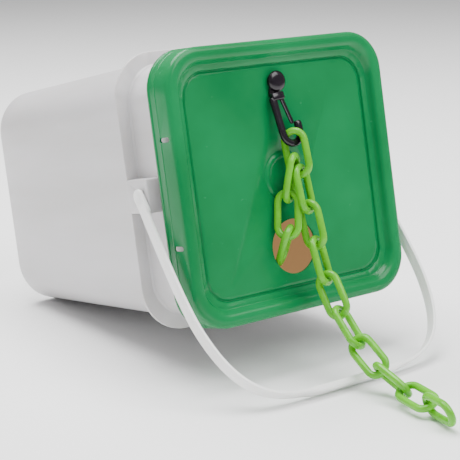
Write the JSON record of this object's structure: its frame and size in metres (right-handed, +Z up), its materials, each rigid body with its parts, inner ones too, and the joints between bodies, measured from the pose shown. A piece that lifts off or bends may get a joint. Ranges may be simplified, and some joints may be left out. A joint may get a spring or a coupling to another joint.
{
  "type": "chain dispensing pail",
  "caption": "Square lidded pail lying propped on its bail handle, storing plastic link chain that runs out of a round hole in the lid and over a snap hook.",
  "frame": {"origin": "centre of the pail's flat base", "axes": "+Z up as the pail lies propped on its handle, lid towards -Y, +X to the right seen from the lid"},
  "size_m": [0.2924, 0.6202, 0.3224],
  "materials": {
    "pail_plastic": "satin moulded polyethylene",
    "lid_plastic": "glossy moulded polyethylene",
    "gasket_foam": "soft foamed seal",
    "handle_plastic": "satin moulded polyethylene",
    "black_plastic": "glossy moulded acetal",
    "steel": "bright steel",
    "chain_plastic": "satin moulded polyethylene"
  },
  "bodies": {
    "pail": {"pail_body": "pail_plastic", "stored_chain": "chain_plastic"},
    "lid": {"lid": "lid_plastic", "lid_gasket": "gasket_foam", "button_stud": "black_plastic", "stud_washer": "steel", "stud_nut": "steel"},
    "handle": {"bail_handle": "handle_plastic"},
    "hook": {"hook_body": "black_plastic", "gate_pin": "steel", "gate_spring": "steel"},
    "gate": {"hook_gate": "black_plastic"},
    "link_01": {"link_01": "chain_plastic"},
    "link_02": {"link_02": "chain_plastic"},
    "link_03": {"link_03": "chain_plastic"},
    "link_04": {"link_04": "chain_plastic"},
    "link_05": {"link_05": "chain_plastic"},
    "link_06": {"link_06": "chain_plastic"},
    "link_07": {"link_07": "chain_plastic"},
    "link_08": {"link_08": "chain_plastic"},
    "link_09": {"link_09": "chain_plastic"},
    "link_10": {"link_10": "chain_plastic"},
    "inner_run": {"inner_link_1": "chain_plastic", "inner_link_2": "chain_plastic"},
    "inner_end": {"inner_link_3": "chain_plastic"}
  },
  "joints": [
    {"name": "lid_lift", "type": "slide", "parent": "pail", "child": "lid", "axis": [0, -0.9798, 0.1999], "range_m": [0, 0.12]},
    {"name": "handle_swing", "type": "hinge", "parent": "pail", "child": "handle", "pos_m": [0, -0.30316, 0.06185], "axis": [-1, 0, 0], "range_deg": [-83, 203], "deforming": ["link_07", "link_08"]},
    {"name": "hook_swing", "type": "hinge", "parent": "lid", "child": "hook", "pos_m": [0, -0.3362, 0.163], "axis": [0, -0.9798, 0.1999], "range_deg": [0, 6]},
    {"name": "gate_swing", "type": "hinge", "parent": "hook", "child": "gate", "pos_m": [0.00091, -0.34075, 0.14988], "axis": [0.0113, 0.9316, -0.3634], "range_deg": [0, 10], "stiffness_Nm_per_rad": 0.01, "springref_deg": -17.19},
    {"name": "link_01_swing", "type": "hinge", "parent": "hook", "child": "link_01", "pos_m": [0.005, -0.35638, 0.11211], "axis": [-1, 0, 0], "range_deg": [0, 2]},
    {"name": "link_02_swing", "type": "hinge", "parent": "link_01", "child": "link_02", "pos_m": [0.005, -0.36729, 0.07953], "axis": [-1, 0, 0], "range_deg": [0, 12]},
    {"name": "link_03_swing", "type": "hinge", "parent": "link_02", "child": "link_03", "pos_m": [0.005, -0.38059, 0.04208], "axis": [-1, 0, 0], "range_deg": [0, 15]},
    {"name": "link_04_swing", "type": "hinge", "parent": "link_03", "child": "link_04", "pos_m": [0.005, -0.39063, 0.01492], "axis": [-1, 0, 0], "range_deg": [0, 15]},
    {"name": "link_05_swing", "type": "hinge", "parent": "link_04", "child": "link_05", "pos_m": [0.005, -0.40836, -0.02363], "axis": [-1, 0, 0], "range_deg": [0, 15]},
    {"name": "link_06_swing", "type": "hinge", "parent": "link_05", "child": "link_06", "pos_m": [0.005, -0.42507, -0.04732], "axis": [-1, 0, 0], "range_deg": [0, 15]},
    {"name": "link_07_swing", "type": "hinge", "parent": "link_06", "child": "link_07", "pos_m": [0.005, -0.45626, -0.07606], "axis": [-1, 0, 0], "range_deg": [0, 15]},
    {"name": "link_08_swing", "type": "hinge", "parent": "link_07", "child": "link_08", "pos_m": [0.005, -0.48114, -0.09094], "axis": [-1, 0, 0], "range_deg": [0, 2.5]},
    {"name": "link_09_swing", "type": "hinge", "parent": "link_08", "child": "link_09", "pos_m": [0.00525, -0.51511, -0.10201], "axis": [-1, 0, 0], "range_deg": [0, 12]},
    {"name": "link_10_swing", "type": "hinge", "parent": "link_09", "child": "link_10", "pos_m": [-0.00016, -0.55846, -0.10414], "axis": [-1, 0, 0], "range_deg": [0, 14]},
    {"name": "inner_link_1_swing", "type": "hinge", "parent": "link_01", "child": "inner_run", "pos_m": [0.0016, -0.36243, 0.08895], "axis": [-1, 0, 0], "range_deg": [-2, 0]},
    {"name": "inner_link_3_swing", "type": "hinge", "parent": "inner_run", "child": "inner_end", "pos_m": [-0.0181, -0.37719, 0.02164], "axis": [-1, 0, 0], "range_deg": [0, 2.5]}
  ],
  "couplings": [
    {"joint": "inner_link_1_swing", "follows": "link_01_swing", "ratio": -1}
  ]
}
